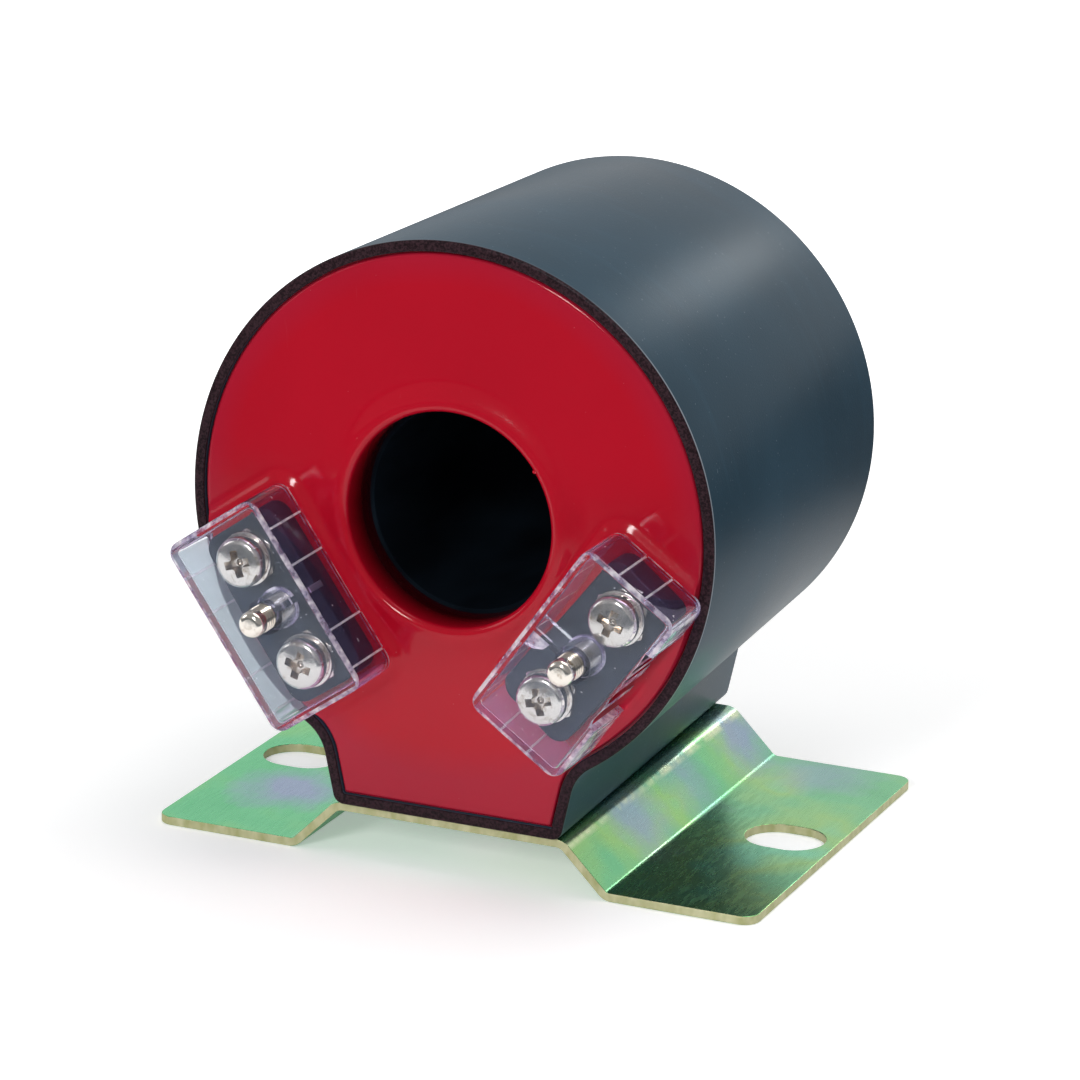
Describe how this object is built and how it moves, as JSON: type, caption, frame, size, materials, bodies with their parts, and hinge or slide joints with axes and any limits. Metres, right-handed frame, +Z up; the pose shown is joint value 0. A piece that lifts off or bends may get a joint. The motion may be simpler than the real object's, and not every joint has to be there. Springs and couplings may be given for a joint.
{
  "type": "through-bore current transformer",
  "caption": "Resin-filled drum with a through bore for a conductor, two screw terminal blocks under clear covers, and a folded bracket with slotted feet.",
  "frame": {"origin": "middle of the slot pattern, on the underside of the feet", "axes": "+Z up from the mounting surface, +Y along the bore from the open resin face to the closed rear of the case, +X across the feet"},
  "size_m": [0.1174, 0.1047, 0.1161],
  "materials": {
    "case_plastic": "satin, finely scuffed",
    "red_resin": "glossy cast resin",
    "core_steel": "wound strip edges",
    "insulation_film": "wrapped film",
    "winding_copper": "enamelled copper",
    "chromated_steel": "yellow-green iridescent chromate",
    "base_plastic": "dark moulded plastic",
    "nickel_plate": "bright nickel plate",
    "insert_brass": "nickel plated brass",
    "clear_plastic": "clear moulded plastic"
  },
  "bodies": {
    "transformer": {"core_insulation": "insulation_film", "front_fixing_screw": "nickel_plate", "front_fixing_washer": "nickel_plate", "front_pedestal_insert": "insert_brass", "housing_shell": "case_plastic", "left_cover_stud": "nickel_plate", "left_link_plate": "winding_copper", "left_lower_flat_washer": "nickel_plate", "left_lower_spring_washer": "nickel_plate", "left_lower_terminal_insert": "insert_brass", "left_lower_terminal_screw": "nickel_plate", "left_terminal_base": "base_plastic", "left_upper_flat_washer": "nickel_plate", "left_upper_spring_washer": "nickel_plate", "left_upper_terminal_insert": "insert_brass", "left_upper_terminal_screw": "nickel_plate", "left_winding_lead": "winding_copper", "mounting_bracket": "chromated_steel", "rear_fixing_screw": "nickel_plate", "rear_fixing_washer": "nickel_plate", "rear_pedestal_insert": "insert_brass", "resin_fill": "red_resin", "right_cover_stud": "nickel_plate", "right_link_plate": "winding_copper", "right_lower_flat_washer": "nickel_plate", "right_lower_spring_washer": "nickel_plate", "right_lower_terminal_insert": "insert_brass", "right_lower_terminal_screw": "nickel_plate", "right_terminal_base": "base_plastic", "right_upper_flat_washer": "nickel_plate", "right_upper_spring_washer": "nickel_plate", "right_upper_terminal_insert": "insert_brass", "right_upper_terminal_screw": "nickel_plate", "right_winding_lead": "winding_copper", "secondary_winding": "winding_copper", "toroid_core": "core_steel", "winding_tape": "insulation_film"},
    "left_cover": {"left_cover": "clear_plastic"},
    "right_cover": {"right_cover": "clear_plastic"}
  },
  "joints": [
    {"name": "left_cover_pull", "type": "slide", "parent": "transformer", "child": "left_cover", "axis": [0, -1, 0], "range_m": [0, 0.0125]},
    {"name": "right_cover_pull", "type": "slide", "parent": "transformer", "child": "right_cover", "axis": [0, -1, 0], "range_m": [0, 0.0125]}
  ]
}
